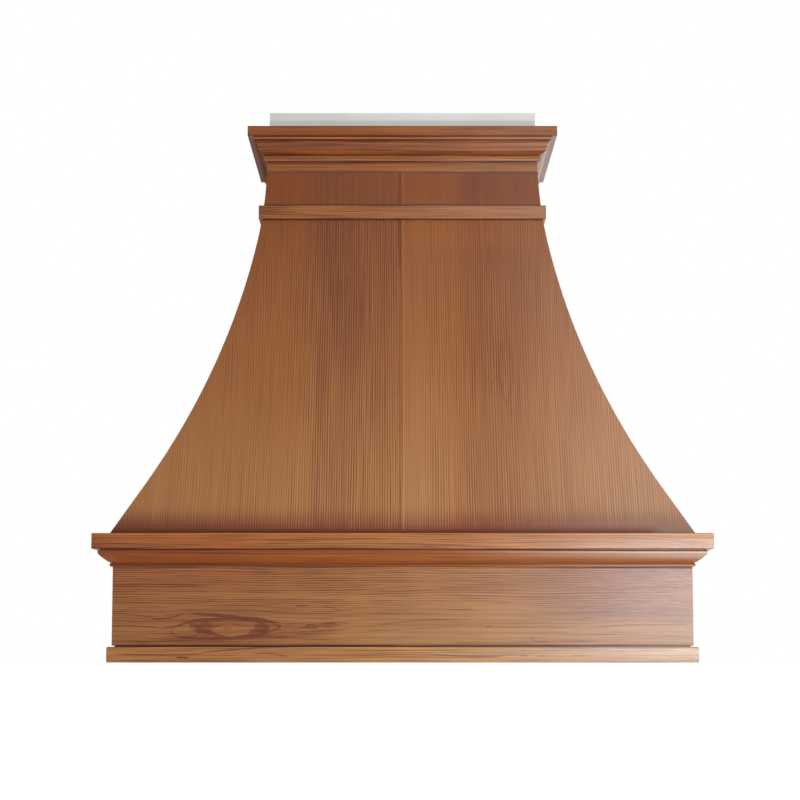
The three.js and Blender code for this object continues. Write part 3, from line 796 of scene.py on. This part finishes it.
panel_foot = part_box("front_panel_right")[0].z
panel_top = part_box("front_panel_right")[1].z
panel_section = shell_section(panel_foot, panel_top, lambda z: flare_inside(z, panel_thickness), steps=60)
frieze_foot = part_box("frieze_front")[0].z
band_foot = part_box("band_front")[0].z
band_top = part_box("band_front")[1].z

leaf = Board("left_leaf_veneer", 51, "Z", "X", None)
shade = veneer_figure(leaf, 0.75 + leaf.side.near(-0.060, 0.150) * 0.65)
red_zone = leaf.patch(0.665, -0.080, 0.36, 0.20, 0.9, 2)
darker_half = leaf.wavering.ramped(-0.185, -0.120)
shade -= darker_half * 0.085 + red_zone * 0.045
red_stripe = leaf.side.near(-0.112, 0.055) * leaf.along.ramped(0.790, 0.755)
shade -= red_stripe * (0.05 + leaf.along.ramped(0.40, 0.54) * 0.06)
shade -= leaf.strokes((
    ((0.562, -0.2728), (0.650, -0.2485), (0.733, -0.2298), 0.0030, 0.12),
    ((0.617, -0.0935), (0.632, -0.0928), (0.648, -0.0925), 0.0016, 0.14),
    ((0.470, -0.1240), (0.440, -0.1235), (0.400, -0.1240), 0.0018, 0.16),
    ((0.640, -0.0048), (0.700, -0.0045), (0.760, -0.0045), 0.0026, 0.12)))
shade -= leaf.flecks((
    (0.6463, -0.0925), (0.6175, -0.1226), (0.4413, -0.0125), (0.6460, -0.0890), (0.4330, -0.1680),
    (0.4230, -0.1810), (0.4375, -0.1328)), 0.0040, 0.0030) * 0.22
shade -= leaf.side.near(-0.0042, 0.0017) * (0.10 + leaf.along.ramped(0.660, 0.672) * 0.32)
shade += leaf.side.near(-0.0010, 0.0016) * leaf.along.ramped(0.660, 0.780) * 0.12
# Redder in the corner on the shelf, painted shade there.
left_redder = leaf.along.ramped(panel_foot + 0.05, panel_foot) * 0.9
left_paler = darker_half * 0.014
left_veneer = leaf.finish(shade, veneer_tone_and_shade(leaf), left_redder, left_paler, foot_corner(leaf))

leaf = Board("right_leaf_veneer", 53, "Z", "X", None)
vigour = 0.80 + leaf.side.near(0.100, 0.120) * 0.20 + leaf.side.ramped(0.14, 0.28) * 0.45
shade = veneer_figure(leaf, vigour)
for up, across, length, width, strength in (
        (0.667, 0.1485, 0.090, 0.009, 0.12), (0.480, 0.1720, 0.125, 0.022, 0.12),
        (0.4535, 0.1430, 0.042, 0.010, 0.14), (0.500, 0.1720, 0.060, 0.009, 0.10)):
    shade -= leaf.loop(up, across, length, width) * strength
shade -= leaf.flecks((
    (0.415, 0.2078), (0.3508, 0.2396), (0.3337, 0.2308), (0.3600, 0.2345)), 0.0060, 0.0026) * 0.16
for up, across, length in (
        (0.6790, 0.1690, 0.0080), (0.6790, 0.1755, 0.0080), (0.5590, 0.1690, 0.0060),
        (0.5270, 0.1640, 0.0160), (0.4910, 0.1710, 0.0060)):
    shade -= leaf.patch(up, across, length, 0.0024, 0.6) * 0.22
shade -= leaf.stroke((0.250, 0.1080), (0.400, 0.1130), (0.560, 0.1190), 0.010) * 0.05
# A painted highlight along the right leaf's edge at the seam.
shade += leaf.side.ramped(0.0034, 0.0014) * 0.30 + leaf.side.ramped(0.070, 0) * 0.05
dark_stretch = leaf.wavering.ramped(0.075, 0.125) * leaf.wavering.ramped(0.330, 0.170)
low_right = leaf.patch(0.270, 0.300, 0.160, 0.260, 0.9, 2)
shade -= dark_stretch * (0.10 + leaf.along.ramped(0.76, 0.80) * 0.12) + low_right * 0.05
shade -= leaf.patch(0.585, 0.165, 0.260, 0.110, 0.7, 2) * 0.08
shade -= leaf.patch(0.340, 0.130, 0.360, 0.130, 0.7, 2) * 0.05
# Painted shade: darker towards the foot at the right end.
shade -= leaf.along.ramped(panel_foot + 0.13, panel_foot) * leaf.side.ramped(0.14, 0.28) * 0.18
shade += leaf.patch(0.700, 0.130, 0.300, 0.200, 0.9, 2) * 0.04
shade += leaf.along.near(0.735, 0.050) * 0.09
shade += leaf.side.ramped(0.17, 0.26) * leaf.along.ramped(0.60, 0.46) * 0.05
# Redder in the corner on the shelf, painted shade there.
right_redder = leaf.along.ramped(panel_foot + 0.05, panel_foot)
# A painted sheen growing towards the right end and at the far right of the foot, with a paler tone by the
# seam and lower down.
right_tone_and_sheen = leaf.side.ramped(0.08, 0.42) * 0.20 + leaf.side.ramped(0.09, 0.03) * 0.020
right_tone_and_sheen = right_tone_and_sheen * leaf.along.ramped(0.80, 0.62) + leaf.along.ramped(0.56, 0.30) * 0.022
right_tone_and_sheen *= 1 - foot_corner(leaf) * 0.7
right_tone_and_sheen += foot_corner(leaf) * leaf.side.ramped(0.38, 0.42) * 0.22
right_veneer = leaf.finish(shade, veneer_tone_and_shade(leaf), right_redder, right_tone_and_sheen, foot_corner(leaf))

leaf = Board("left_end_veneer", 55, "Z", "Y", None)
left_end_veneer = leaf.finish(veneer_figure(leaf), veneer_tone_and_shade(leaf))
leaf = Board("right_end_veneer", 57, "Z", "Y", None)
right_end_veneer = leaf.finish(veneer_figure(leaf), veneer_tone_and_shade(leaf))
shell_course("front_panel", "side_panel", panel_section)


# ---------------------------------------------------------------------------------------------------
# The neck: tapered facings that carry the same veneer on above the band, straight at the back and glued
# to the primed box.
neck_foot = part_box("neck_front_right")[0].z
neck_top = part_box("neck_front_right")[1].z
collar_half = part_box("collar_right")[1].x
neck_section = shell_section(neck_foot, neck_top, lambda z: collar_half + clearance, steps=12)
shell_course("neck_front", "neck_side", neck_section)


# ---------------------------------------------------------------------------------------------------
# The band: a flat strap of solid stock round the foot of the neck, mitred, scribed to the flare at its
# back and glued over the joint between the panels and the facings.
band_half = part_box("band_right")[1].x
band_out = band_half - half
band_back = [(flare(level) + clearance - half, level) for level in (band_top, panel_top, band_foot)]
band_section = eased([(band_out, band_foot, 0.001), (band_out, band_top, 0.001), *band_back])

board = Board("band_wood", 61)
shade = board.plain_figure(0.006, 1.2)
shade -= board.strokes((
    ((-0.246, 0.7660), (-0.222, 0.7680), (-0.190, 0.7700), 0.0012, 0.22),
    ((-0.246, 0.7615), (-0.215, 0.7640), (-0.160, 0.7600), 0.0014, 0.24),
    ((-0.120, 0.7650), (-0.050, 0.7665), (0.010, 0.7685), 0.0010, 0.14),
    ((-0.010, 0.7640), (0.060, 0.7620), (0.120, 0.7625), 0.0011, 0.14)))
# Painted shadow lines along both edges, and painted shade at the left end.
shade -= board.side.near(band_top, 0.0014) * 0.25 + board.side.near(band_foot, 0.0016) * 0.2
shade -= board.along.ramped(-0.17, -0.23) * 0.20
# A little paler tone, and a painted sheen growing towards the right.
band_tone_and_sheen = 0.01 + board.along.ramped(-0.08, 0.12) * 0.09
band_wood = board.finish(shade, (0.287, 0.097, 0.021), paler=band_tone_and_sheen)
band_end_wood = end_board("band_end_wood", 62, (0.287, 0.094, 0.019), 0.006)
three_lengths("band", band_section, band_wood, band_end_wood)


# ---------------------------------------------------------------------------------------------------
# The frieze: a thin flat strip of solid stock with its grain level, mitred and glued round the primed
# box between the facings and the crown.
frieze_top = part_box("frieze_front")[1].z
box_face = collar_half + clearance - half
frieze_face = neck - half
frieze_section = eased([(box_face, frieze_foot), (frieze_face, frieze_foot, 0.0004),
                        (frieze_face, frieze_top), (box_face, frieze_top)])

board = Board("frieze_wood", 71)
shade = board.plain_figure(0.006, 1.0)
# Painted shade under the crown and a painted shadow line at the foot; the lower half is painted lighter,
# and paler towards the right, a painted sheen.
shade -= board.side.near(frieze_top, 0.0050) * 0.42
shade -= board.side.near(frieze_foot + 0.0008, 0.0028) * 0.50
painted_light_lower_half = board.side.ramped(frieze_foot + 0.012, frieze_foot + 0.004)
shade += board.along.ramped(-0.16, -0.22) * 0.08 + painted_light_lower_half * 0.04
shade -= board.along.near(-0.010, 0.130) * 0.07
frieze_painted_light = painted_light_lower_half * 0.04 + board.along.ramped(-0.05, 0.15) * 0.05
frieze_wood = board.finish(shade, (0.262, 0.079, 0.008), paler=frieze_painted_light)
frieze_end_wood = end_board("frieze_end_wood", 72, (0.264, 0.077, 0.012), 0.006)
three_lengths("frieze", frieze_section, frieze_wood, frieze_end_wood)


# ---------------------------------------------------------------------------------------------------
# The crown: a moulding run in solid stock, with a bead at its foot, an ogee and a cove, a small step and
# a square fillet on top, mitred at the corners and returned to the wall.
crown_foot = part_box("crown_front")[0].z
crown_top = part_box("crown_front")[1].z
crown_height = crown_top - crown_foot
crown_out = 0.0323
crown_quirk = (0.0038, 0.0109)
ogee_foot = (0.0062, 0.0115)
ogee_top = (0.0156, 0.0210)
cove_top = (0.0214, 0.0336)
step_out = 0.0240
fillet_up = 0.0385
crown_outline = [(0.0008, 0), *bow((0.0038, 0.0006), (0.0064, 0.0054), (0.0040, 0.0102), steps=8)]
crown_outline += [crown_quirk, *bow(ogee_foot, (0.0144, 0.0146), ogee_top, steps=10)]
crown_outline += bow(ogee_top, (0.0168, 0.0292), cove_top, steps=10)[1:]
crown_fillet = eased([
    cove_top, (step_out, 0.0343, 0.0005), (step_out, 0.0381), (crown_out, fillet_up, 0.0006),
    (crown_out, crown_height, 0.0008), (0, crown_height)])
crown_outline += crown_fillet[1:-1]
crown_section = [(box_face, crown_foot)]
crown_section += [(frieze_face + out, crown_foot + up) for out, up in crown_outline]
crown_section += [(box_face, crown_top)]

board = Board("crown_wood", 81)
up_crown = (board.side - crown_foot) / crown_height
# The tone by height; the pale band on the step is a painted highlight.
crown_tone = board.nodes.ramp(
    up_crown, (0.17, (0.300, 0.104, 0.027)), (0.22, (0.275, 0.080, 0.016)),
    (0.37, (0.226, 0.056, 0.006)), (0.45, (0.212, 0.054, 0.005)), (0.61, (0.212, 0.054, 0.005)),
    (0.63, (0.550, 0.220, 0.060)), (0.67, (0.550, 0.220, 0.060)), (0.70, (0.258, 0.072, 0.010)))
cove = up_crown.ramped(0.44, 0.50) * up_crown.ramped(0.62, 0.60)
# Painted shade: darker towards the left end, most in the cove.
shade = board.plain_figure(0.006) - board.along.ramped(-0.08, -0.22) * (0.09 + cove * 0.10)
step = up_crown.ramped(0.61, 0.63) * up_crown.ramped(0.70, 0.68)
# Painted shadow lines at the foot, the quirks, under the step and the fillet, and along the top.
for level, reach, strength in (
        (0, 0.0020, 0.45), (0.0044, 0.0014, 0.18), (0.0107, 0.0014, 0.45), (0.0340, 0.0020, 0.50),
        (fillet_up, 0.0022, 0.50), (crown_height, 0.0022, 0.35)):
    shade -= board.side.near(crown_foot + level, reach) * strength
# A painted highlight on the ogee's shoulder, towards the right.
shade += board.side.near(crown_foot + 0.0240, 0.0014) * board.along.ramped(0.04, 0.16) * 0.30
# A painted sheen towards the right end, strongest on the step.
crown_painted_sheen = board.along.ramped(-0.05, 0.18) * (0.03 + step * 0.20)
crown_wood = board.finish(shade, crown_tone, paler=crown_painted_sheen)
crown_end_wood = end_board("crown_end_wood", 82, (0.235, 0.060, 0.008), 0.006)
three_lengths("crown", crown_section, crown_wood, crown_end_wood)


# ---------------------------------------------------------------------------------------------------
# The box for the duct: 12 mm plywood boards butted together, filled, sanded and left in flat grey
# primer. It shows 32 mm above the crown.
def primer(name):
    """Primer with a fine stipple, painted paler down by the crown against the crown's shade."""
    material, coat = material_nodes(name)
    place = coat.add("ShaderNodeTexCoord", output="Object")
    drift = coat.add("ShaderNodeTexNoise", {"Vector": place, "Scale": 9, "Detail": 3}) - 0.5
    stipple = coat.add("ShaderNodeTexNoise", {"Vector": place, "Scale": 900, "Detail": 2}) - 0.5
    level = coat.add("ShaderNodeSeparateXYZ", {0: place}, "Z")
    # Painted light: paler down by the crown, against the crown's shade.
    shade = 0.3 + drift * 0.8 + stipple * 0.15 + level.ramped(crown_top + 0.025, crown_top + 0.016) * 0.7
    colour = coat.ramp(shade, (0, (0.71, 0.71, 0.68)), (1, (0.96, 0.97, 0.93)))
    surface(coat, colour, 0.75 + drift * 0.2, 0.3, stipple)
    return material


box_arris = 0.0006


def sawn_board(name, node):
    """A board at its node's place, with its arrises eased."""
    low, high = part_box(node)
    bpy.ops.mesh.primitive_cube_add(size=1, location=(low + high) / 2, scale=high - low)
    board = bpy.context.object
    board.name = name
    board.data.name = name
    bpy.ops.object.transform_apply(location=True, rotation=True, scale=True)
    bpy.ops.object.mode_set(mode="EDIT")
    bpy.ops.mesh.select_all(action="SELECT")
    bpy.ops.mesh.bevel(offset=box_arris, segments=2, affect="EDGES")
    finish_piece()
    return board


grey = primer("grey_primer_coat")
for side in ("front", "left", "right", "back"):
    fit(sawn_board(f"primed_box_{side}", f"collar_{side}"), f"collar_{side}", grey)


# ---------------------------------------------------------------------------------------------------
# The carcase inside: birch plywood ribs, posts, rails and liner panel, bare and sanded, screwed together
# before the panels go on. They show only from behind and below.
ply_pair = 0.0028


def bare_birch(node_name, number):
    """Birch plywood: pale faces with a long soft figure, and its plies in lines along its edges."""
    low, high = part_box(node_name)
    by_size = sorted(range(3), key=lambda axis: high[axis] - low[axis])
    thin, middle, long = ("XYZ"[axis] for axis in by_size)
    sheet = Board(f"{node_name}_birch", number, long, middle, thin)
    facing = sheet.nodes.add("ShaderNodeTexCoord", output="Normal")
    on_face = sheet.nodes.add("ShaderNodeSeparateXYZ", {0: facing}, thin).math("ABSOLUTE").ramped(0.4, 0.8)
    plies = ((sheet.deep - low[by_size[0]]) / ply_pair * math.tau).math("SINE").ramped(-0.5, 0.5) - 0.5
    figure = sheet.noise(0.20, 0.030, 3, 1.3) * 1.1 + sheet.noise(0.05, 0.002, 2, 7.7) * 0.5
    shade = 0.5 + figure + plies * (1 - on_face) * 0.7
    colour = sheet.nodes.ramp(
        shade, (0, (0.36, 0.21, 0.10)), (0.5, (0.62, 0.46, 0.28)), (1, (0.76, 0.62, 0.42)))
    surface(sheet.nodes, colour, 0.7, 0.3, shade, 0.0003)
    return sheet.material


carcase = ("ledger", "liner", "corner_block", "lower_wall", "deck", "rib", "hip", "wall_cleat")
for number, (name, node) in enumerate(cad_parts.items(), 100):
    if name.startswith(carcase):
        node.data.materials.clear()
        node.data.materials.append(bare_birch(name, number))
